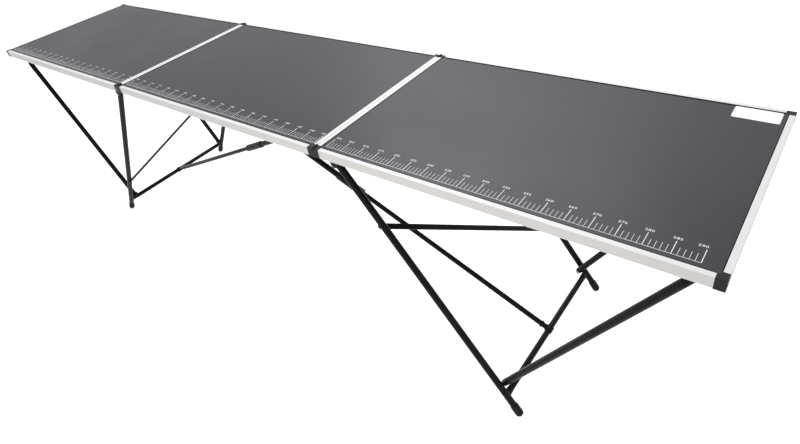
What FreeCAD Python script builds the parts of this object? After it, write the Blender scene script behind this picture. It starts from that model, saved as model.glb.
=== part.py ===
import FreeCAD, Part
import math
import os

# Folding trestle table: three framed panels in a row on two folding tube trestles.
# X runs along the table, Y from front to back, Z up from the floor, in millimetres.

# Driving sizes of the table
table_height = 775.0
table_depth = 600.0
middle_length = 992.0
outer_length = 974.0

# Edge rail profile and the board that it grips
rail_height = 25.0
rail_web = 1.5
rail_flange = 12.0
rail_sheet = 1.2
rail_lip = 8.0
board_thickness = 6.0
board_play = 0.4

# Corner blocks
block_side = 20.0
block_drop = 1.5
block_edge = 1.2
block_chamfer = 9.0
tongue_length = 25.0
tongue_width = 7.8
tongue_play = 0.2

# Panel hinges in the corner blocks
seam = 1.0
knuckle_radius = 3.2
knuckle_rise = 0.6
knuckle_play = 0.4
hinge_pin_radius = 1.5
running_fit = 0.05

# Legs
leg_radius = 10.0
leg_wall = 1.5
leg_inset = 25.0
pivot_inset = 53.0
pivot_drop = 42.0
pivot_pin_radius = 4.0
leg_overrun = 11.0
foot_spread = 511.3
cap_radius = 12.0
cap_length = 26.0

# Crossbar and diagonal strip
crossbar_height = 66.0
crossbar_radius = 9.0
crossbar_wall = 1.5
flare_length = 34.0
flare_half_width = 13.5
flare_half_depth = 5.0
strip_width = 16.0
strip_thickness = 3.0
strip_high_share = 0.232
strip_low_share = 0.698
rivet_radius = 3.0
rivet_head_radius = 5.5
rivet_head_height = 2.0

# Braces
brace_radius = 10.0
brace_wall = 1.5
brace_inset = 46.0
brace_plug = 24.0
brace_pivot_inset = 34.0
brace_pivot_drop = 23.0
tab_thickness = 5.0
tab_half_width = 10.5
tab_length = 30.0
tab_taper = 34.0
stud_height = 88.0
stud_radius = 4.0
stud_play = 0.4
stud_head_radius = 6.0
stud_head_height = 2.2
fork_play = 0.4
brace_turn_share = -0.05

# Sheet brackets that carry the legs and braces
bracket_sheet = 2.0
bracket_play = 0.5
bracket_half_length = 20.0
bracket_edge = 12.0
brace_bracket_edge = 12.5

# Telescopic struts
strut_root_offset = 4.0
strut_tip_offset = 20.0
strut_end_inset = 56.0
strut_end_drop = 63.0
rod_radius = 8.3
rod_wall = 1.5
rod_solid_end = 45.0
rod_length = 858.0
strut_tube_radius = 10.8
strut_tube_wall = 2.3
strut_tube_length = 824.0
strut_plug = 6.0
clip_wall = 3.0
clip_width = 18.0
clip_rivet_distance = 27.0
clip_rivet_radius = 4.5
clip_rivet_rise = 1.6
collar_radius = 13.8
collar_length = 112.0
collar_neck = 12.0
collar_play = 0.3
groove_count = 10
groove_radius = 1.6

# Sockets under the middle panel that the strut ends push into
socket_wall = 3.5
socket_back = 14.0
socket_reach = 34.0
socket_play = 0.8

# One overrun serves all cuts
cut_overrun = 40.0

# Places worked out from the sizes
hinge_x = middle_length / 2
half_depth = table_depth / 2
board_top = table_height - rail_sheet
board_under = board_top - board_thickness
rail_bottom = table_height - rail_height
leg_y = half_depth - leg_inset
brace_y = half_depth - brace_inset
outer_end = hinge_x + outer_length
pivot = FreeCAD.Vector(hinge_x + pivot_inset, 0, table_height - pivot_drop)
leg_angle = math.atan2(pivot.z, foot_spread)
down_leg = FreeCAD.Vector(math.cos(leg_angle), 0, -math.sin(leg_angle))
leg_inboard = FreeCAD.Vector(-math.sin(leg_angle), 0, -math.cos(leg_angle))
brace_pivot = FreeCAD.Vector(outer_end - brace_pivot_inset, 0, table_height - brace_pivot_drop)
along_y = FreeCAD.Vector(0, 1, 0)
up = FreeCAD.Vector(0, 0, 1)


def leg_point(height, y=0):
    """A point on a leg's axis at a height above the floor."""
    reach = (pivot.z - height) / math.sin(leg_angle)
    return pivot + down_leg * reach + along_y * y


leg_span = pivot.z / math.sin(leg_angle)
foot_centre = leg_point(cap_radius)
crossbar_centre = leg_point(crossbar_height)
stud_point = leg_point(stud_height)
strut_root = crossbar_centre - along_y * strut_root_offset
strut_tip = FreeCAD.Vector(strut_end_inset - hinge_x, -strut_tip_offset, table_height - strut_end_drop)
strut_way = (strut_tip - strut_root).normalize()
strut_span = (strut_tip - strut_root).Length
tube_start = strut_span - strut_tube_length


# Simple solids

def cylinder(start, end, radius):
    return Part.makeCylinder(radius, (end - start).Length, start, end - start)


def pipe(start, end, radius, wall):
    return cylinder(start, end, radius).cut(cylinder(start, end, radius - wall))


def box(low, high):
    size = high - low
    return Part.makeBox(size.x, size.y, size.z, low)


def pin_along_y(point, y_from, y_to, radius):
    """A round pin along Y through a point, between two places across the table."""
    start = FreeCAD.Vector(point.x, y_from, point.z)
    end = FreeCAD.Vector(point.x, y_to, point.z)
    return cylinder(start, end, radius)


def oval(centre, long_half, short_half):
    """A closed oval wire, given by its centre and its two half axes as vectors."""
    if math.isclose(long_half.Length, short_half.Length):
        edge = Part.Circle(centre + long_half, centre + short_half, centre - long_half)
    else:
        edge = Part.Ellipse(centre + long_half, centre + short_half, centre)
    return Part.Wire(edge.toShape())


def tidy(shape):
    return shape.removeSplitter()


# Panels

def rail(length):
    """An edge rail along X, its outer face at y = 0, its top at the table's height."""
    ledge_top = rail_sheet + board_thickness
    ledge_under = ledge_top + rail_sheet
    outline = [
        (0, 0), (rail_flange, 0), (rail_flange, rail_sheet), (rail_web, rail_sheet),
        (rail_web, ledge_top), (rail_flange, ledge_top), (rail_flange, ledge_under), (rail_web, ledge_under),
        (rail_web, rail_height - rail_web), (rail_lip, rail_height - rail_web), (rail_lip, rail_height),
        (0, rail_height), (0, 0),
    ]
    points = [FreeCAD.Vector(-length / 2, inward, table_height - drop) for inward, drop in outline]
    profile = Part.Face(Part.makePolygon(points))
    return profile.extrude(FreeCAD.Vector(length, 0, 0))


def side_rail(centre_x, length, turn):
    shape = rail(length - 2 * block_side)
    shape.translate(FreeCAD.Vector(0, -half_depth, 0))
    shape.rotate(FreeCAD.Vector(), up, turn)
    shape.translate(FreeCAD.Vector(centre_x, 0, 0))
    return shape


def end_rail(centre_x, length, turn):
    shape = rail(table_depth - 2 * block_side)
    shape.translate(FreeCAD.Vector(0, -length / 2, 0))
    shape.rotate(FreeCAD.Vector(), up, turn)
    shape.translate(FreeCAD.Vector(centre_x, 0, 0))
    return shape


def board(centre_x, length):
    """A panel's board, notched at its corners for the corner blocks."""
    half_x = length / 2 - rail_web - board_play
    half_y = half_depth - rail_web - board_play
    low = FreeCAD.Vector(centre_x - half_x, -half_y, board_under)
    shape = box(low, FreeCAD.Vector(centre_x + half_x, half_y, board_top))
    for inward_x in (-1, 1):
        for front in (True, False):
            notch = block_prism(block_side + board_play, rail_bottom, table_height)
            shape = shape.cut(to_corner(notch, centre_x - inward_x * length / 2, inward_x, front))
    return shape


def block_prism(side, bottom, top):
    """A corner block's body with its outer corner at the origin and its inner edge cut off."""
    short = side - block_chamfer
    outline = [(0, 0), (side, 0), (side, short), (short, side), (0, side), (0, 0)]
    points = [FreeCAD.Vector(x, y, bottom) for x, y in outline]
    return Part.Face(Part.makePolygon(points)).extrude(up * (top - bottom))


def to_corner(shape, corner_x, inward_x, front):
    """Turn a shape made at the origin into one corner; inward_x is the way along X into the panel."""
    if inward_x < 0:
        shape = shape.mirror(FreeCAD.Vector(), FreeCAD.Vector(1, 0, 0))
    if not front:
        shape = shape.mirror(FreeCAD.Vector(), along_y)
    shape.translate(FreeCAD.Vector(corner_x, -half_depth if front else half_depth, 0))
    return shape


def tongue():
    """The tongue that a corner block pushes into a rail along X, from x = 0."""
    ledge_under = rail_sheet + board_thickness + rail_sheet
    low = FreeCAD.Vector(0, rail_web + tongue_play, rail_bottom + rail_web + tongue_play)
    high = FreeCAD.Vector(tongue_length, rail_web + tongue_play + tongue_width,
                          table_height - ledge_under - tongue_play)
    return box(low, high)


def corner_block(corner_x, inward_x, front):
    """A corner block with a rounded top and the two tongues that push into its rails."""
    shape = block_prism(block_side, rail_bottom - block_drop, table_height)
    rounded = [edge for edge in shape.Edges if edge.BoundBox.ZMin > rail_bottom]
    shape = shape.makeFillet(block_edge, rounded)
    along_side = tongue()
    along_side.translate(FreeCAD.Vector(block_side, 0, 0))
    along_end = tongue().mirror(FreeCAD.Vector(), FreeCAD.Vector(1, -1, 0))
    along_end.translate(FreeCAD.Vector(0, block_side, 0))
    return to_corner(shape.fuse([along_side, along_end]), corner_x, inward_x, front)


def knuckle_span(front, outermost, grown=0):
    """Where a hinge knuckle lies across the table; the middle panel's is the outermost."""
    half_play = knuckle_play / 2
    middle = block_side / 2
    near = half_depth if outermost else half_depth - middle - half_play
    far = half_depth - middle + half_play if outermost else half_depth - block_side
    side = -1 if front else 1
    return sorted((side * (near + grown), side * (far - grown)))


def hinge_block(corner_x, inward_x, front, carries_pin):
    """A corner block with one hinge knuckle, cleared for the knuckle of its neighbour."""
    axis = FreeCAD.Vector(hinge_x, 0, table_height + knuckle_rise)
    shape = corner_block(corner_x, inward_x, front)
    other = knuckle_span(front, not carries_pin, knuckle_play / 2)
    shape = shape.cut(pin_along_y(axis, other[0], other[1], knuckle_radius + knuckle_play))
    own = knuckle_span(front, carries_pin)
    shape = shape.fuse(pin_along_y(axis, own[0], own[1], knuckle_radius))
    if carries_pin:
        pin = sorted(own + knuckle_span(front, False))
        return tidy(shape.fuse(pin_along_y(axis, pin[0], pin[-1], hinge_pin_radius)))
    bore = pin_along_y(axis, own[0] - knuckle_play, own[1] + knuckle_play, hinge_pin_radius + running_fit)
    return tidy(shape.cut(bore))


def add_panel(pieces, name, centre_x, length):
    pieces[name + "_board"] = board(centre_x, length)
    pieces[name + "_front_rail"] = side_rail(centre_x, length, 0)
    pieces[name + "_rear_rail"] = side_rail(centre_x, length, 180)
    pieces[name + "_right_rail"] = end_rail(centre_x, length, 90)
    pieces[name + "_left_rail"] = end_rail(centre_x, length, 270)


def middle_panel():
    pieces = {}
    add_panel(pieces, "middle", 0, middle_length - seam)
    edge = hinge_x - seam / 2
    pieces["middle_front_right_block"] = hinge_block(edge, -1, True, True)
    pieces["middle_rear_right_block"] = hinge_block(edge, -1, False, True)
    pieces["middle_rear_left_block"] = turned(pieces["middle_front_right_block"])
    pieces["middle_front_left_block"] = turned(pieces["middle_rear_right_block"])
    pieces["right_strut_socket"] = strut_socket()
    pieces["left_strut_socket"] = turned(pieces["right_strut_socket"])
    return pieces


def outer_panel():
    """The right-hand panel with the brackets that carry its trestle."""
    pieces = {}
    start = hinge_x + seam / 2
    add_panel(pieces, "panel", (start + outer_end) / 2, outer_end - start)
    pieces["panel_front_hinge_block"] = hinge_block(start, 1, True, False)
    pieces["panel_rear_hinge_block"] = hinge_block(start, 1, False, False)
    pieces["panel_front_end_block"] = corner_block(outer_end, -1, True)
    pieces["panel_rear_end_block"] = corner_block(outer_end, -1, False)
    for end, side in (("front", -1), ("rear", 1)):
        pieces[end + "_leg_bracket"] = bracket(pivot, side * leg_y, leg_radius, bracket_edge)
        pieces[end + "_brace_bracket"] = bracket(brace_pivot, side * brace_y, tab_thickness / 2, brace_bracket_edge)
    return pieces


def bracket(point, y, half_gap, edge):
    """A folded sheet bracket under the board: a foot, two cheeks and the pin between them."""
    inside = half_gap + bracket_play
    outside = inside + bracket_sheet
    foot_low = FreeCAD.Vector(point.x - bracket_half_length, y - outside, board_under - bracket_sheet)
    shape = box(foot_low, FreeCAD.Vector(point.x + bracket_half_length, y + outside, board_under))
    for near in (y - outside, y + inside):
        low = FreeCAD.Vector(point.x - edge, near, point.z)
        cheek = box(low, FreeCAD.Vector(point.x + edge, near + bracket_sheet, board_under))
        shape = shape.fuse([cheek, pin_along_y(point, near, near + bracket_sheet, edge)])
    return tidy(shape.fuse(pin_along_y(point, y - outside, y + outside, pivot_pin_radius)))


def strut_socket():
    """The block under the middle panel that the strut's tip pushes into, open below."""
    half_width = strut_tube_radius + socket_play + socket_wall
    low = FreeCAD.Vector(strut_tip.x - socket_back, strut_tip.y - half_width, strut_tip.z - strut_tube_radius)
    high = FreeCAD.Vector(strut_tip.x + socket_reach, strut_tip.y + half_width, board_under)
    shape = box(low, high)
    lift = along_y.cross(strut_way)
    half_gap = strut_tube_radius + socket_play
    reach = socket_reach + socket_back + cut_overrun
    start = strut_tip + strut_way * socket_play + lift * half_gap - along_y * half_gap
    corners = [start, start - strut_way * reach, start - strut_way * reach - lift * reach, start - lift * reach, start]
    way_out = Part.Face(Part.makePolygon(corners)).extrude(along_y * (2 * half_gap))
    return shape.cut(way_out)


# Trestle, as it stands under the right-hand panel

def leg(side, strip_share):
    """A leg tube with its pivot hole, its rivet hole and the stud that the brace turns on."""
    y = side * leg_y
    top = pivot - down_leg * leg_overrun + along_y * y
    shape = pipe(top, foot_centre + along_y * y, leg_radius, leg_wall)
    shape = shape.cut(pin_along_y(pivot, y - 2 * leg_radius, y + 2 * leg_radius, pivot_pin_radius + running_fit))
    shape = shape.cut(strip_rivet(y, strip_share))
    stud_start = side * (leg_y - leg_radius + leg_wall)
    stud_end = side * (brace_y - brace_radius - stud_play)
    head_end = stud_end - side * stud_head_height
    stud = pin_along_y(stud_point, stud_start, stud_end, stud_radius)
    head = pin_along_y(stud_point, stud_end, head_end, stud_head_radius)
    bore = cylinder(top, foot_centre + along_y * y, leg_radius - leg_wall)
    return tidy(shape.fuse(stud.fuse(head).cut(bore)))


def foot_cap(side):
    y = along_y * (side * leg_y)
    centre = foot_centre + y
    shape = cylinder(centre - down_leg * cap_length, centre, cap_radius)
    shape = shape.fuse(Part.makeSphere(cap_radius, centre))
    return tidy(shape.cut(cylinder(centre - down_leg * (cap_length + cut_overrun), centre, leg_radius)))


def crossbar():
    """The lower tube between the legs, its ends pressed flat against them."""
    straight = leg_y - flare_length
    shape = pipe(crossbar_centre - along_y * straight, crossbar_centre + along_y * straight,
                 crossbar_radius, crossbar_wall)
    for side in (-1, 1):
        round_end = oval(crossbar_centre + along_y * (side * straight),
                         down_leg * crossbar_radius, leg_inboard * crossbar_radius)
        flat_end = oval(crossbar_centre + along_y * (side * leg_y),
                        down_leg * flare_half_width, leg_inboard * flare_half_depth)
        flare = Part.makeLoft([round_end, flat_end], True)
        axis = along_y * (side * leg_y)
        flare = flare.cut(cylinder(pivot + axis, foot_centre + axis, leg_radius))
        shape = shape.fuse(flare)
    return tidy(shape)


def strip_end(y, share):
    return pivot + down_leg * (leg_span * share) + along_y * y


def strip_rivet(y, share):
    """The rivet shank that holds the strip's end, from inside the leg to the strip's face."""
    start = strip_end(y, share) + leg_inboard * (leg_radius - leg_wall)
    return cylinder(start, start + leg_inboard * (leg_wall + strip_thickness), rivet_radius)


def strip():
    """The flat diagonal strip on the inboard face of the legs, high in front and low behind."""
    ends = [strip_end(-leg_y, strip_high_share), strip_end(leg_y, strip_low_share)]
    ends = [end + leg_inboard * leg_radius for end in ends]
    way = (ends[1] - ends[0]).normalize()
    across = way.cross(leg_inboard) * (strip_width / 2)
    corners = [ends[0] + across, ends[1] + across, ends[1] - across, ends[0] - across, ends[0] + across]
    shape = Part.Face(Part.makePolygon(corners)).extrude(leg_inboard * strip_thickness)
    for end, y, share in zip(ends, (-leg_y, leg_y), (strip_high_share, strip_low_share)):
        face = end + leg_inboard * strip_thickness
        shape = shape.fuse(cylinder(end, face, strip_width / 2))
        shape = shape.fuse(cylinder(face, face + leg_inboard * rivet_head_height, rivet_head_radius))
        shape = shape.fuse(strip_rivet(y, share))
    return tidy(shape)


def brace(side):
    """A brace tube: its domed low end turns on the leg's stud, its flat forked top sits on the panel's pin."""
    y = along_y * (side * brace_y)
    low, high = stud_point + y, brace_pivot + y
    way = (high - low).normalize()
    across = along_y.cross(way)
    half_thickness = along_y * (tab_thickness / 2)
    flat = high - way * tab_length
    neck = flat - way * tab_taper
    taper = Part.makeLoft([oval(flat, across * tab_half_width, half_thickness),
                           oval(neck, across * brace_radius, along_y * brace_radius)], True)
    side_step = across * tab_half_width
    corners = [high + side_step, flat + side_step, flat - side_step, high - side_step, high + side_step]
    corners = [corner - half_thickness for corner in corners]
    tab = Part.Face(Part.makePolygon(corners)).extrude(half_thickness * 2)
    tab = tab.fuse(cylinder(high - half_thickness, high + half_thickness, tab_half_width))
    plug = cylinder(low, low + way * brace_plug, brace_radius).fuse(Part.makeSphere(brace_radius, low))
    shape = tab.fuse([taper, pipe(low + way * brace_plug, neck, brace_radius, brace_wall), plug])
    near, far = y.y - brace_radius, y.y + brace_radius
    shape = shape.cut(pin_along_y(stud_point, near, far, stud_radius + running_fit))
    return tidy(shape.cut(brace_fork(near, far)))


def brace_fork(near, far):
    """The notch by which a brace's top leaves the panel's pin as the leg swings in."""
    leg_arm = stud_point - pivot
    brace_arm = brace_pivot - stud_point
    leg_move = FreeCAD.Vector(leg_arm.z, 0, -leg_arm.x)
    brace_move = FreeCAD.Vector(brace_arm.z, 0, -brace_arm.x) * brace_turn_share
    pin_way = (leg_move + brace_move).normalize() * -1
    half_gap = pivot_pin_radius + fork_play
    step = along_y.cross(pin_way) * half_gap
    start = FreeCAD.Vector(brace_pivot.x, near, brace_pivot.z)
    end = start + pin_way * cut_overrun
    corners = [start + step, end + step, end - step, start - step, start + step]
    slot = Part.Face(Part.makePolygon(corners)).extrude(along_y * (far - near))
    return slot.fuse(pin_along_y(brace_pivot, near, far, half_gap))


def strut_rod():
    """The strut's inner rod, a tube pressed solid at the clip that turns on the crossbar."""
    bore = crossbar_radius + running_fit
    near, far = strut_root.y - clip_width / 2, strut_root.y + clip_width / 2
    end = strut_root + strut_way * rod_length
    shape = cylinder(strut_root, end, rod_radius)
    shape = shape.cut(cylinder(strut_root + strut_way * rod_solid_end, end, rod_radius - rod_wall))
    shape = shape.fuse(pin_along_y(strut_root, near, far, bore + clip_wall))
    rivet = strut_root + strut_way * clip_rivet_distance
    rivet_half = rod_radius + clip_rivet_rise
    shape = shape.fuse(pin_along_y(rivet, rivet.y - rivet_half, rivet.y + rivet_half, clip_rivet_radius))
    return tidy(shape.cut(pin_along_y(strut_root, near, far, bore)))


def strut_tube():
    """The strut's outer tube, closed at the tip that pushes into the socket."""
    start = strut_root + strut_way * tube_start
    shape = cylinder(start, strut_tip, strut_tube_radius)
    return shape.cut(cylinder(start, strut_tip - strut_way * strut_plug, strut_tube_radius - strut_tube_wall))


def strut_collar():
    """The grooved twist collar that clamps the rod in the tube."""
    start = strut_root + strut_way * (tube_start - collar_neck)
    end = start + strut_way * collar_length
    shape = cylinder(start, end, collar_radius)
    shape = shape.cut(cylinder(start + strut_way * collar_neck, end, strut_tube_radius + running_fit))
    shape = shape.cut(cylinder(start, end, rod_radius + collar_play))
    lift = along_y.cross(strut_way)
    for count in range(groove_count):
        turn = 2 * math.pi * count / groove_count
        spoke = (along_y * math.cos(turn) + lift * math.sin(turn)) * collar_radius
        groove_start = start + strut_way * collar_neck + spoke
        groove_end = end - strut_way * collar_neck + spoke
        shape = shape.cut(cylinder(groove_start, groove_end, groove_radius))
    return shape


def trestle():
    return {
        "front_leg": leg(-1, strip_high_share),
        "rear_leg": leg(1, strip_low_share),
        "front_foot": foot_cap(-1),
        "rear_foot": foot_cap(1),
        "crossbar": crossbar(),
        "diagonal_strip": strip(),
        "front_brace": brace(-1),
        "rear_brace": brace(1),
        "strut_rod": strut_rod(),
        "strut_tube": strut_tube(),
        "strut_collar": strut_collar(),
    }


# The left half is the right half turned half a turn about the table's middle

def turned(shape):
    other = shape.copy()
    other.rotate(FreeCAD.Vector(), up, 180)
    return other


def turned_name(name):
    words = {"front": "rear", "rear": "front", "left": "right", "right": "left"}
    return "_".join(words.get(word, word) for word in name.split("_"))


def build():
    pieces = middle_panel()
    half = outer_panel()
    half.update(trestle())
    for name, shape in half.items():
        pieces["right_" + name] = shape
        pieces["left_" + turned_name(name)] = turned(shape)
    return pieces


os.makedirs("parts", exist_ok=True)
for name, shape in build().items():
    solids = shape.Solids
    print(name, len(solids), round(shape.Volume), shape.isValid())
    solids[0].exportStep("parts/" + name + ".step")
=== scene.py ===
import bpy
import math
from mathutils import Matrix, Vector


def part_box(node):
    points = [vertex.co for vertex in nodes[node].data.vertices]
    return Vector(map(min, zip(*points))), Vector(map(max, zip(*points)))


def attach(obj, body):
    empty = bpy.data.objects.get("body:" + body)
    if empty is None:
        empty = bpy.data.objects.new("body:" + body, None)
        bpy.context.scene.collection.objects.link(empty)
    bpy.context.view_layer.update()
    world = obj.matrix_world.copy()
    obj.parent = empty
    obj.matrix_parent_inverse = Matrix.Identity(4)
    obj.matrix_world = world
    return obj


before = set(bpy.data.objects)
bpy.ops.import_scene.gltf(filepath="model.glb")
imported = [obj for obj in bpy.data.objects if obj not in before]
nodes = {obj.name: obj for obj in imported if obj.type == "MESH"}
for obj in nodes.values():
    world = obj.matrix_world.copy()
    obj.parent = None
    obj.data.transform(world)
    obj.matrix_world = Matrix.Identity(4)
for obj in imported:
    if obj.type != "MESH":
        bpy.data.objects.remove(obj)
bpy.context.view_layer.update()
scene = bpy.context.scene
scene.view_settings.view_transform = "Standard"
print("frame loaded:", len(nodes), "nodes")


# small helpers for the mesh work

smoothAngle = 0.7  # radians, for round heads
facing = 0.99  # least part of a normal along an axis for its face to point that way
hair = 1e-6


def clearSelection():
    if bpy.context.object and bpy.context.object.mode != "OBJECT":
        bpy.ops.object.mode_set(mode="OBJECT")
    bpy.ops.object.select_all(action="DESELECT")


def startPick(kind):
    bpy.ops.object.mode_set(mode="EDIT")
    bpy.ops.mesh.select_mode(type=kind)
    bpy.ops.mesh.select_all(action="DESELECT")
    bpy.ops.object.mode_set(mode="OBJECT")


def pickFaces(piece, test):
    startPick("FACE")
    for face in piece.data.polygons:
        face.select = test(face)
    bpy.ops.object.mode_set(mode="EDIT")


def pickEdges(piece, test):
    startPick("EDGE")
    points = piece.data.vertices
    for edge in piece.data.edges:
        edge.select = test(points[edge.vertices[0]].co, points[edge.vertices[1]].co)
    bpy.ops.object.mode_set(mode="EDIT")


def applyPlace(piece):
    clearSelection()
    piece.select_set(True)
    bpy.context.view_layer.objects.active = piece
    bpy.ops.object.transform_apply(location=True, rotation=True, scale=True)


def joinAll(pieces, name):
    clearSelection()
    for piece in pieces:
        piece.select_set(True)
    bpy.context.view_layer.objects.active = pieces[0]
    bpy.ops.object.join()
    joined = bpy.context.object
    joined.name = name
    joined.data.name = name
    return joined


def copyAt(model, place, turn=None):
    twin = model.copy()
    twin.data = model.data.copy()
    scene.collection.objects.link(twin)
    twin.matrix_world = Matrix.Translation(place) @ (turn or Matrix.Identity(4))
    applyPlace(twin)
    return twin


def dress(piece, finish, body):
    piece.data.materials.clear()
    piece.data.materials.append(finish)
    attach(piece, body)


# small helpers for the finishes

def newFinish(name):
    finish = bpy.data.materials.new(name)
    finish.use_nodes = True
    tree = finish.node_tree
    return finish, tree, tree.nodes["Principled BSDF"]


def addNode(tree, kind, **settings):
    node = tree.nodes.new(kind)
    for key, value in settings.items():
        if key in node.inputs:
            node.inputs[key].default_value = value
        else:
            setattr(node, key, value)
    return node


def objectCoords(tree, stretch=(1, 1, 1)):
    coords = addNode(tree, "ShaderNodeTexCoord")
    mapping = addNode(tree, "ShaderNodeMapping", Scale=stretch)
    tree.links.new(coords.outputs["Object"], mapping.inputs["Vector"])
    return mapping.outputs["Vector"]


def noise(tree, vector, scale, detail=3.0, roughness=0.55):
    node = addNode(tree, "ShaderNodeTexNoise", Scale=scale, Detail=detail, Roughness=roughness)
    tree.links.new(vector, node.inputs["Vector"])
    return node.outputs["Fac"]


def ramp(tree, value, stops, tones):
    node = addNode(tree, "ShaderNodeValToRGB")
    start, end = node.color_ramp.elements
    start.position, end.position = stops
    start.color = (*tones["dark"], 1)
    end.color = (*tones["pale"], 1)
    tree.links.new(value, node.inputs["Fac"])
    return node.outputs["Color"]


def rangeOf(tree, value, low, high, fromLow=0.3, fromHigh=0.7):
    node = addNode(tree, "ShaderNodeMapRange")
    node.inputs["From Min"].default_value = fromLow
    node.inputs["From Max"].default_value = fromHigh
    node.inputs["To Min"].default_value = low
    node.inputs["To Max"].default_value = high
    tree.links.new(value, node.inputs["Value"])
    return node.outputs["Result"]


def addBump(tree, shader, height, strength, depth):
    node = addNode(tree, "ShaderNodeBump", Strength=strength, Distance=depth)
    tree.links.new(height, node.inputs["Height"])
    tree.links.new(node.outputs["Normal"], shader.inputs["Normal"])


# dark laminate: soft clouds and a fine grain

laminate = {"dark": (0.025, 0.0256, 0.034), "pale": (0.034, 0.0348, 0.045), "rough": (0.37, 0.46),
            "shine": 0.24, "stops": (0.15, 0.85), "bump": 0.25, "depth": 0.00008,
            "cloud": 3.5, "cloudDetail": 4.0, "cloudShare": 0.65,
            "grain": 1400.0, "grainDetail": 2.0, "grainRough": 0.6, "grainShare": 0.35}


def makeLaminate():
    finish, tree, shader = newFinish("anthracite_laminate")
    vector = objectCoords(tree)
    cloud = noise(tree, vector, laminate["cloud"], laminate["cloudDetail"])
    grain = noise(tree, vector, laminate["grain"], laminate["grainDetail"], laminate["grainRough"])
    blend = addNode(tree, "ShaderNodeMath", operation="MULTIPLY_ADD")
    blend.inputs[1].default_value = laminate["grainShare"]
    tree.links.new(grain, blend.inputs[0])
    tree.links.new(rangeOf(tree, cloud, 0.0, laminate["cloudShare"]), blend.inputs[2])
    colour = ramp(tree, blend.outputs[0], laminate["stops"], laminate)
    tree.links.new(colour, shader.inputs["Base Color"])
    tree.links.new(rangeOf(tree, cloud, *laminate["rough"]), shader.inputs["Roughness"])
    shader.inputs["Specular IOR Level"].default_value = laminate["shine"]
    addBump(tree, shader, grain, laminate["bump"], laminate["depth"])
    return finish


# satin rails: fine lines drawn out along the rail

aluminium = {"dark": (0.61, 0.61, 0.614), "pale": (0.69, 0.69, 0.694), "rough": (0.46, 0.58), "metal": 0.1,
             "stops": (0.25, 0.75), "bump": 0.12, "depth": 0.00005, "patches": 9.0,
             "lines": 900.0, "lineDetail": 2.0, "lineRough": 0.5, "lineStretch": 0.02}


def makeAluminium(name, stretch):
    finish, tree, shader = newFinish(name)
    vector = objectCoords(tree, stretch)
    lines = noise(tree, vector, aluminium["lines"], aluminium["lineDetail"], aluminium["lineRough"])
    patches = noise(tree, objectCoords(tree), aluminium["patches"])
    colour = ramp(tree, lines, aluminium["stops"], aluminium)
    tree.links.new(colour, shader.inputs["Base Color"])
    tree.links.new(rangeOf(tree, patches, *aluminium["rough"]), shader.inputs["Roughness"])
    shader.inputs["Metallic"].default_value = aluminium["metal"]
    addBump(tree, shader, lines, aluminium["bump"], aluminium["depth"])
    return finish


# grained plastic, rubber, coating, print and the dark strips of painted shade: one pattern, each with its own
# tones

grained = {"pebbleDetail": 3.0, "pebbleRough": 0.6, "patches": 35.0, "patchDetail": 2.0,
           "stops": (0.3, 0.7), "depth": 0.00012}
cornerPlastic = {"dark": (0.006, 0.006, 0.007), "pale": (0.012, 0.012, 0.013), "rough": (0.42, 0.58),
                 "shine": 0.2, "grain": 1900.0, "bump": 0.35}
powderCoat = {"dark": (0.004, 0.004, 0.005), "pale": (0.009, 0.009, 0.010), "rough": (0.26, 0.38),
              "shine": 0.1, "grain": 1200.0, "bump": 0.30}
footRubber = {"dark": (0.008, 0.008, 0.008), "pale": (0.015, 0.015, 0.015), "rough": (0.62, 0.80),
              "shine": 0.2, "grain": 800.0, "bump": 0.45}
collarPlastic = {"dark": (0.008, 0.008, 0.009), "pale": (0.015, 0.015, 0.017), "rough": (0.35, 0.50),
                 "shine": 0.22, "grain": 1500.0, "bump": 0.25}
# near-black tones of the strips that paint shade along the rails and in the hinge gaps
shadeStripTones = {"dark": (0.003, 0.003, 0.0035), "pale": (0.006, 0.006, 0.0065), "rough": (0.7, 0.9),
              "shine": 0.06, "grain": 900.0, "bump": 0.20}
printInk = {"dark": (0.70, 0.71, 0.72), "pale": (0.86, 0.87, 0.88), "rough": (0.45, 0.6),
            "shine": 0.4, "grain": 2500.0, "bump": 0.1}
plateVinyl = {"dark": (0.80, 0.80, 0.79), "pale": (0.88, 0.88, 0.87), "rough": (0.30, 0.42),
              "shine": 0.5, "grain": 700.0, "bump": 0.08}


def makeGrained(name, tones):
    finish, tree, shader = newFinish(name)
    vector = objectCoords(tree)
    pebble = noise(tree, vector, tones["grain"], grained["pebbleDetail"], grained["pebbleRough"])
    patches = noise(tree, vector, grained["patches"], grained["patchDetail"])
    colour = ramp(tree, patches, grained["stops"], tones)
    tree.links.new(colour, shader.inputs["Base Color"])
    tree.links.new(rangeOf(tree, pebble, *tones["rough"]), shader.inputs["Roughness"])
    shader.inputs["Specular IOR Level"].default_value = tones["shine"]
    addBump(tree, shader, pebble, tones["bump"], grained["depth"])
    return finish


# zinc of the screws and stud heads: small cells over soft clouds

zincSheet = {"dark": (0.36, 0.37, 0.38), "pale": (0.60, 0.60, 0.59), "rough": (0.28, 0.46), "metal": 0.9,
             "stops": (0.3, 0.7), "bump": 0.1, "depth": 0.00005,
             "cells": 260.0, "cellReach": 0.8, "cloud": 60.0}


def makeZinc():
    finish, tree, shader = newFinish("zinc_sheet")
    vector = objectCoords(tree)
    cells = addNode(tree, "ShaderNodeTexVoronoi", Scale=zincSheet["cells"])
    tree.links.new(vector, cells.inputs["Vector"])
    cloud = noise(tree, vector, zincSheet["cloud"])
    colour = ramp(tree, cloud, zincSheet["stops"], zincSheet)
    tree.links.new(colour, shader.inputs["Base Color"])
    rough = rangeOf(tree, cells.outputs["Distance"], *zincSheet["rough"], 0.0, zincSheet["cellReach"])
    tree.links.new(rough, shader.inputs["Roughness"])
    shader.inputs["Metallic"].default_value = zincSheet["metal"]
    addBump(tree, shader, cloud, zincSheet["bump"], zincSheet["depth"])
    return finish


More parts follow.
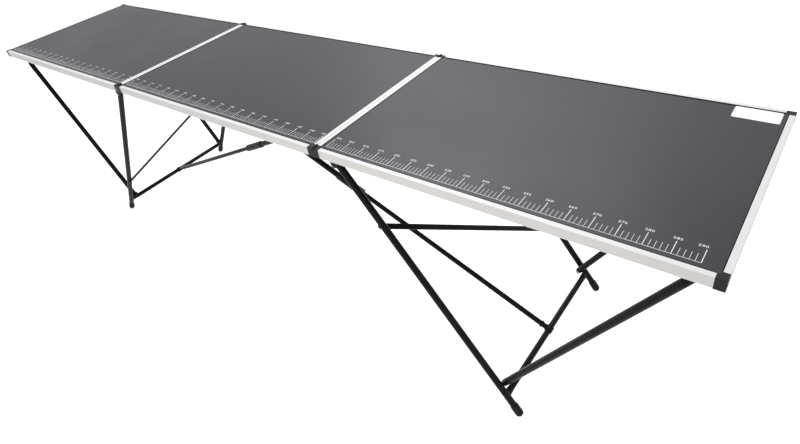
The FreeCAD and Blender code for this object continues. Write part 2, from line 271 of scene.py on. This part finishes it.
laminateFinish = makeLaminate()
railFinishX = makeAluminium("aluminium_along_x", (aluminium["lineStretch"], 1, 1))
railFinishY = makeAluminium("aluminium_along_y", (1, aluminium["lineStretch"], 1))
cornerFinish = makeGrained("corner_plastic_grain", cornerPlastic)
powderFinish = makeGrained("black_powder_coat_satin", powderCoat)
rubberFinish = makeGrained("foot_rubber_matte", footRubber)
collarFinish = makeGrained("collar_plastic_satin", collarPlastic)
shadeStripFinish = makeGrained("painted_shade_dark", shadeStripTones)
zincFinish = makeZinc()
inkFinish = makeGrained("white_print_ink", printInk)
plateFinish = makeGrained("blank_plate_vinyl", plateVinyl)


def finishFor(name):
    if name.endswith("board"):
        return laminateFinish
    if name.endswith(("front_rail", "rear_rail")):
        return railFinishX
    if name.endswith(("left_rail", "right_rail")):
        return railFinishY
    if name.endswith(("block", "socket")):
        return cornerFinish
    if name.endswith("foot"):
        return rubberFinish
    if name.endswith("collar"):
        return collarFinish
    return powderFinish


for name, node in nodes.items():
    node.data.materials.clear()
    node.data.materials.append(finishFor(name))
print("finishes on", len(nodes), "nodes")


# the thin bar that the ruler, the painted shade lines along the rails and the painted shade strips in the
# hinge gaps are made of

barSteps = 2  # facets of a rounded upper edge


def flatBar(lowX, highX, lowY, highY, bottom, thick, edge=0):
    clearSelection()
    bpy.ops.mesh.primitive_plane_add(size=1, location=(0, 0, 0))
    bar = bpy.context.object
    bpy.ops.object.mode_set(mode="EDIT")
    bpy.ops.mesh.select_all(action="SELECT")
    bpy.ops.mesh.extrude_region_move(TRANSFORM_OT_translate={"value": (0, 0, 1)})
    bpy.ops.mesh.select_all(action="SELECT")
    bpy.ops.mesh.normals_make_consistent(inside=False)
    bpy.ops.object.mode_set(mode="OBJECT")
    bar.scale = (highX - lowX, highY - lowY, thick)
    bar.location = ((lowX + highX) / 2, (lowY + highY) / 2, bottom)
    applyPlace(bar)
    if edge:
        middle = bottom + thick / 2
        pickEdges(bar, lambda a, b: a.z > middle and b.z > middle)
        bpy.ops.mesh.bevel(offset=edge, segments=barSteps, affect="EDGES")
        bpy.ops.object.mode_set(mode="OBJECT")
    return bar


# the ruler printed along the front edge of each board, counted in centimetres

ruler = {"base": -0.2742, "tallTop": -0.2375, "shortTop": -0.2525, "textLine": -0.2328, "lift": 0.00012,
         "tallWidth": 0.0014, "shortWidth": 0.0008, "baseWidth": 0.0009, "numberEvery": 5, "perMetre": 100,
         "digitHeight": 0.0063, "digitShare": 0.69, "digitStretch": 1.32, "digitCurve": 2,
         "boards": [{"name": "left_ruler", "body": "left_panel", "node": "left_panel_board",
                     "first": 2, "last": 95, "zero": -1.470, "nudge": {}},
                    {"name": "middle_ruler", "body": "middle_panel", "node": "middle_board",
                     "first": 100, "last": 195, "zero": -1.473, "nudge": {100: 0.0065, 195: -0.0075}},
                    {"name": "right_ruler", "body": "right_panel", "node": "right_panel_board",
                     "first": 200, "last": 290, "zero": -1.478, "nudge": {200: 0.0065, 290: -0.0075}}]}


def printedNumber(value, centreX, top):
    clearSelection()
    bpy.ops.object.text_add(location=(0, 0, 0))
    label = bpy.context.object
    label.data.body = str(value)
    label.data.align_x = "CENTER"
    label.data.size = ruler["digitHeight"] / ruler["digitShare"]  # a digit fills this share of the line
    label.data.resolution_u = ruler["digitCurve"]
    label.data.extrude = ruler["lift"] / 2
    bpy.ops.object.convert(target="MESH")
    label = bpy.context.object
    label.scale = (ruler["digitStretch"], 1, 1)
    label.location = (centreX, ruler["textLine"], top + ruler["lift"] / 2)
    applyPlace(label)
    return label


def modelMark(width, farEnd, top):
    return flatBar(-width / 2, width / 2, ruler["base"], farEnd, top, ruler["lift"])


def makeRuler(board):
    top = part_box(board["node"])[1].z
    marks = range(board["first"], board["last"] + 1)
    places = {mark: board["zero"] + mark / ruler["perMetre"] for mark in marks}
    tall = modelMark(ruler["tallWidth"], ruler["tallTop"], top)
    short = modelMark(ruler["shortWidth"], ruler["shortTop"], top)
    startX = places[board["first"]] - ruler["tallWidth"] / 2
    endX = places[board["last"]] + ruler["tallWidth"] / 2
    startY = ruler["base"] - ruler["baseWidth"] / 2
    endY = ruler["base"] + ruler["baseWidth"] / 2
    parts = [flatBar(startX, endX, startY, endY, top, ruler["lift"])]
    for mark, place in places.items():
        numbered = mark % ruler["numberEvery"] == 0
        parts.append(copyAt(tall if numbered else short, (place, 0, 0)))
        if numbered:
            parts.append(printedNumber(mark, place + board["nudge"].get(mark, 0), top))
    for model in (tall, short):
        bpy.data.objects.remove(model)
    piece = joinAll(parts, board["name"])
    dress(piece, inkFinish, board["body"])
    print("ruler", board["name"], len(piece.data.polygons), "faces")


for board in ruler["boards"]:
    makeRuler(board)


# painted shade: a dark strip laid on the board along the rails, standing in for the shadow in the gap between
# board and rail

shadeLine = {"front": 0.0024, "rear": 0.0036, "end": 0.0018, "hinge": 0.0016, "high": 0.0010, "edge": 0.0003,
        "hingeReach": 0.6,  # an end rail nearer the middle than this lies at a hinge
        "flange": 0.0120, "block": 0.0204,  # width of a rail's top, and length of a corner block on it
        "panels": {"left_panel": "left_panel", "middle_panel": "middle", "right_panel": "right_panel"}}


def makeBead(body, prefix):
    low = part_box(prefix + "_left_rail")[0]
    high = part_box(prefix + "_right_rail")[1]
    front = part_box(prefix + "_front_rail")[0].y
    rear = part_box(prefix + "_rear_rail")[1].y
    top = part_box(prefix + "_board")[1].z
    inset = shadeLine["flange"]
    block = shadeLine["block"]
    parts = []
    for y, width in ((front + inset, shadeLine["front"]), (rear - inset, -shadeLine["rear"])):
        lowY, highY = sorted((y, y + width))
        parts.append(flatBar(low.x + block, high.x - block, lowY, highY, top, shadeLine["high"], shadeLine["edge"]))
    for x, side in ((low.x + inset, 1), (high.x - inset, -1)):
        width = shadeLine["hinge"] if abs(x) < shadeLine["hingeReach"] else shadeLine["end"]
        lowX, highX = sorted((x, x + side * width))
        parts.append(flatBar(lowX, highX, front + block, rear - block, top, shadeLine["high"], shadeLine["edge"]))
    piece = joinAll(parts, prefix + "_painted_shade_line")
    dress(piece, shadeStripFinish, body)


for body, prefix in shadeLine["panels"].items():
    makeBead(body, prefix)
print("painted shade lines made")


# painted shade: a dark strip in the gap at each hinge line, standing in for the shadow down in the gap

gapShade = {"thick": 0.0009, "bottom": 0.752, "top": 0.7751, "side": 0.00005, "edge": 0.0002}


def makeGapSeal(rail, side, name):
    low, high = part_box(rail)
    start = (high.x if side > 0 else low.x) + side * gapShade["side"]
    lowX, highX = sorted((start, start + side * gapShade["thick"]))
    tall = gapShade["top"] - gapShade["bottom"]
    piece = flatBar(lowX, highX, low.y, high.y, gapShade["bottom"], tall, gapShade["edge"])
    piece.name = name
    dress(piece, shadeStripFinish, "middle_panel")


makeGapSeal("middle_right_rail", 1, "right_gap_shade_strip")
makeGapSeal("middle_left_rail", -1, "left_gap_shade_strip")
print("gap shade strips made")


# the blank plate stuck on the right-hand board

blankPlate = {"low": (1.349, 0.2320), "high": (1.4475, 0.2832), "thick": 0.00035, "corner": 0.004, "steps": 5}


def makePlate():
    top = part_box("right_panel_board")[1].z
    lowX, lowY = blankPlate["low"]
    highX, highY = blankPlate["high"]
    half = blankPlate["thick"] / 2
    clearSelection()
    bpy.ops.mesh.primitive_cube_add(size=1)
    plate = bpy.context.object
    plate.scale = (highX - lowX, highY - lowY, blankPlate["thick"])
    plate.location = ((lowX + highX) / 2, (lowY + highY) / 2, top + half)
    applyPlace(plate)
    pickEdges(plate, lambda a, b: abs(a.z - b.z) > half)
    bpy.ops.mesh.bevel(offset=blankPlate["corner"], segments=blankPlate["steps"], affect="EDGES")
    bpy.ops.object.mode_set(mode="OBJECT")
    plate.name = "blank_plate"
    dress(plate, plateFinish, "right_panel")
    print("blank plate made")


makePlate()


# screws and rivets of the brackets, and the domes on the studs of the legs

screw = {"radius": 0.0030, "height": 0.0019, "bevel": 0.0009, "steps": 3, "sides": 18,
         "socket": 0.0013, "socketDepth": 0.55}  # the depth is a share of the height
rivet = {"radius": 0.0060, "height": 0.0020, "sides": 20, "rings": 12}
stud = {"x": 0.998916, "y": 0.2414, "z": 0.088}
brackets = {"leg": {"x": 0.549, "y": 0.275, "z": 0.733, "out": 0.0125, "screw": 0.0162},
            "brace": {"x": 1.436, "y": 0.254, "z": 0.752, "out": 0.005, "screw": 0.0164}}
bracketFoot = 0.7658  # height of the plate that the screws hold


def modelScrew():
    clearSelection()
    height = screw["height"]
    bpy.ops.mesh.primitive_cylinder_add(vertices=screw["sides"], radius=screw["radius"], depth=height,
                                        location=(0, 0, -height / 2))
    head = bpy.context.object
    applyPlace(head)
    low = -height + hair
    pickEdges(head, lambda a, b: a.z < low and b.z < low)
    bpy.ops.mesh.bevel(offset=screw["bevel"], segments=screw["steps"], affect="EDGES")
    bpy.ops.object.mode_set(mode="OBJECT")
    pickFaces(head, lambda face: face.normal.z < -facing and face.center.z < low)
    bpy.ops.mesh.inset(thickness=screw["radius"] - screw["bevel"] - screw["socket"])
    sink = (0, 0, height * screw["socketDepth"])
    bpy.ops.mesh.extrude_region_move(TRANSFORM_OT_translate={"value": sink})
    bpy.ops.object.mode_set(mode="OBJECT")
    return head


def modelRivet():
    clearSelection()
    bpy.ops.mesh.primitive_uv_sphere_add(segments=rivet["sides"], ring_count=rivet["rings"],
                                         radius=rivet["radius"])
    dome = bpy.context.object
    bpy.ops.object.mode_set(mode="EDIT")
    bpy.ops.mesh.select_all(action="SELECT")
    bpy.ops.mesh.bisect(plane_co=(0, 0, 0), plane_no=(0, 0, 1), clear_inner=True, use_fill=True)
    bpy.ops.object.mode_set(mode="OBJECT")
    dome.scale = (1, 1, rivet["height"] / rivet["radius"])
    applyPlace(dome)
    bpy.ops.object.shade_smooth_by_angle(angle=smoothAngle)
    return dome


def makeFasteners():
    screwModel = modelScrew()
    rivetModel = modelRivet()
    toRear = Matrix.Rotation(math.radians(-90), 4, "X")  # dome towards +Y
    toFront = Matrix.Rotation(math.radians(90), 4, "X")  # dome towards -Y
    for side, name in ((1, "right"), (-1, "left")):
        screws = []
        rivets = []
        for end in (-1, 1):
            for bracket in brackets.values():
                x = side * bracket["x"]
                y = end * bracket["y"]
                for step in (-bracket["screw"], bracket["screw"]):
                    screws.append(copyAt(screwModel, (x + step, y, bracketFoot)))
                rivets.append(copyAt(rivetModel, (x, y + bracket["out"], bracket["z"]), toRear))
                rivets.append(copyAt(rivetModel, (x, y - bracket["out"], bracket["z"]), toFront))
        dress(joinAll(screws, name + "_bracket_screws"), zincFinish, name + "_panel")
        dress(joinAll(rivets, name + "_bracket_rivets"), powderFinish, name + "_panel")
        domes = []
        for end, turn in ((-1, toRear), (1, toFront)):
            domes.append(copyAt(rivetModel, (side * stud["x"], end * stud["y"], stud["z"]), turn))
        piece = joinAll(domes, name + "_stud_heads")
        dress(piece, zincFinish, name + "_trestle")
    for model in (screwModel, rivetModel):
        bpy.data.objects.remove(model)
    print("bracket screws and rivets made")


makeFasteners()


# plugs in the open tops of the leg tubes

plug = {"radius": 0.0084, "depth": 0.010, "dome": 0.0022, "round": 0.8, "steps": 3, "sides": 24,
        "overrun": 0.011,  # of the tube past its pivot
        "legRise": 0.733, "legRun": 0.5113}


def makePlugs():
    clearSelection()
    bpy.ops.mesh.primitive_cylinder_add(vertices=plug["sides"], radius=plug["radius"], depth=plug["depth"],
                                        location=(0, 0, -plug["depth"] / 2))
    model = bpy.context.object
    applyPlace(model)
    pickFaces(model, lambda face: face.normal.z > facing)
    bpy.ops.mesh.extrude_region_move(TRANSFORM_OT_translate={"value": (0, 0, plug["dome"])})
    bpy.ops.mesh.bevel(offset=plug["dome"] * plug["round"], segments=plug["steps"], affect="EDGES")
    bpy.ops.object.mode_set(mode="OBJECT")
    bpy.ops.object.shade_smooth_by_angle(angle=smoothAngle)
    angle = math.atan2(plug["legRise"], plug["legRun"])
    pivot = brackets["leg"]
    x = pivot["x"] - plug["overrun"] * math.cos(angle)
    z = pivot["z"] + plug["overrun"] * math.sin(angle)
    for side, name in ((1, "right"), (-1, "left")):
        turn = Matrix.Rotation(-side * (math.pi / 2 - angle), 4, "Y")
        parts = []
        for end in (-1, 1):
            parts.append(copyAt(model, (side * x, end * pivot["y"], z), turn))
        piece = joinAll(parts, name + "_leg_plugs")
        dress(piece, cornerFinish, name + "_trestle")
    bpy.data.objects.remove(model)
    print("leg plugs made")


makePlugs()


# floor and world: white where the camera and reflections see them, softer as a light

studio = {"floor": 24.0, "floorDrop": 0.0004, "floorTone": 0.70, "floorGlow": 0.72,
          "worldLight": 0.76, "worldShown": 1.0}


def shownRays(tree):
    path = addNode(tree, "ShaderNodeLightPath")
    first = addNode(tree, "ShaderNodeMath", operation="MAXIMUM")
    second = addNode(tree, "ShaderNodeMath", operation="MAXIMUM")
    tree.links.new(path.outputs["Is Camera Ray"], first.inputs[0])
    tree.links.new(path.outputs["Is Glossy Ray"], first.inputs[1])
    tree.links.new(first.outputs[0], second.inputs[0])
    tree.links.new(path.outputs["Is Transmission Ray"], second.inputs[1])
    return second.outputs[0]


def makeFloor():
    clearSelection()
    bpy.ops.mesh.primitive_plane_add(size=studio["floor"], location=(0, 0, -studio["floorDrop"]))
    floor = bpy.context.object
    applyPlace(floor)
    floor.name = "studio_floor"
    finish, tree, shader = newFinish("pale_floor")
    tree.nodes.remove(shader)
    matte = addNode(tree, "ShaderNodeBsdfDiffuse", Color=(studio["floorTone"],) * 3 + (1,))
    glow = addNode(tree, "ShaderNodeEmission")
    level = addNode(tree, "ShaderNodeMath", operation="MULTIPLY")
    level.inputs[1].default_value = studio["floorGlow"]
    tree.links.new(shownRays(tree), level.inputs[0])
    tree.links.new(level.outputs[0], glow.inputs["Strength"])
    total = addNode(tree, "ShaderNodeAddShader")
    tree.links.new(matte.outputs[0], total.inputs[0])
    tree.links.new(glow.outputs[0], total.inputs[1])
    tree.links.new(total.outputs[0], tree.nodes["Material Output"].inputs["Surface"])
    floor.data.materials.append(finish)


def makeWorld():
    world = bpy.data.worlds.new("studio_world")
    scene.world = world
    world.use_nodes = True
    tree = world.node_tree
    background = tree.nodes["Background"]
    background.inputs["Color"].default_value = (1, 1, 1, 1)
    strength = rangeOf(tree, shownRays(tree), studio["worldLight"], studio["worldShown"], 0.0, 1.0)
    tree.links.new(strength, background.inputs["Strength"])


# the lamps

overheadBox = {"place": (-0.6, 0.9, 3.6), "energy": 43.0, "size": 4.5}
rearBox = {"place": (-0.4, 1.9, 2.9), "energy": 43.0, "long": 2.2, "short": 1.5,
           "aim": (0.5, 0.0, 0.77), "along": (2.03, 0.86, 0.62)}
frontBox = {"place": (0.75, -1.7, 0.75), "energy": 6.2, "size": 0.8, "colour": (1.0, 0.88, 0.72)}


def addSoftbox(name, box, turn=(0, 0, 0)):
    bpy.ops.object.light_add(type="AREA", location=box["place"], rotation=turn)
    lamp = bpy.context.object
    lamp.name = name
    lamp.data.energy = box["energy"]
    return lamp


def makeLamps():
    overhead = addSoftbox("overhead_softbox", overheadBox)
    overhead.data.size = overheadBox["size"]
    rear = addSoftbox("rear_softbox", rearBox)
    rear.data.shape = "RECTANGLE"
    rear.data.size = rearBox["long"]
    rear.data.size_y = rearBox["short"]
    away = (Vector(rearBox["place"]) - Vector(rearBox["aim"])).normalized()
    across = away.cross(Vector(rearBox["along"])).normalized()
    turn = Matrix((across.cross(away), across, away)).transposed().to_4x4()
    rear.matrix_world = Matrix.Translation(rearBox["place"]) @ turn
    front = addSoftbox("front_softbox", frontBox, (math.pi / 2, 0, 0))
    front.data.size = frontBox["size"]
    front.data.color = frontBox["colour"]
    front.visible_glossy = False  # it lifts the rail faces and leaves the boards' reflections alone


# the camera: angles in degrees, focal length and shifts in pixels of a picture this wide

camera = {"azimuth": 43.142638, "elevation": 35.886433, "roll": -10.378408,
          "place": (1.529443, -1.084144, 1.521256), "focal": 570.58977,
          "shiftX": 5.126989, "shiftY": -33.230384, "width": 800, "sensor": 36, "reach": 60}


def makeCamera():
    azimuth = math.radians(camera["azimuth"])
    elevation = math.radians(camera["elevation"])
    roll = math.radians(camera["roll"])
    flat = math.cos(elevation)
    back = Vector((math.sin(azimuth) * flat, -math.cos(azimuth) * flat, math.sin(elevation)))
    level = Vector((math.cos(azimuth), math.sin(azimuth), 0))
    raised = back.cross(level)
    right = math.cos(roll) * level + math.sin(roll) * raised
    top = -math.sin(roll) * level + math.cos(roll) * raised
    turn = Matrix((right, top, back)).transposed().to_4x4()
    bpy.ops.object.camera_add()
    view = bpy.context.object
    view.name = "photo_camera"
    view.matrix_world = Matrix.Translation(camera["place"]) @ turn
    view.data.sensor_width = camera["sensor"]
    view.data.sensor_fit = "HORIZONTAL"
    view.data.lens = camera["sensor"] * camera["focal"] / camera["width"]
    view.data.shift_x = -camera["shiftX"] / camera["width"]
    view.data.shift_y = camera["shiftY"] / camera["width"]
    view.data.clip_end = camera["reach"]
    scene.camera = view


clearSelection()
makeFloor()
makeWorld()
makeLamps()
makeCamera()
print("studio made")
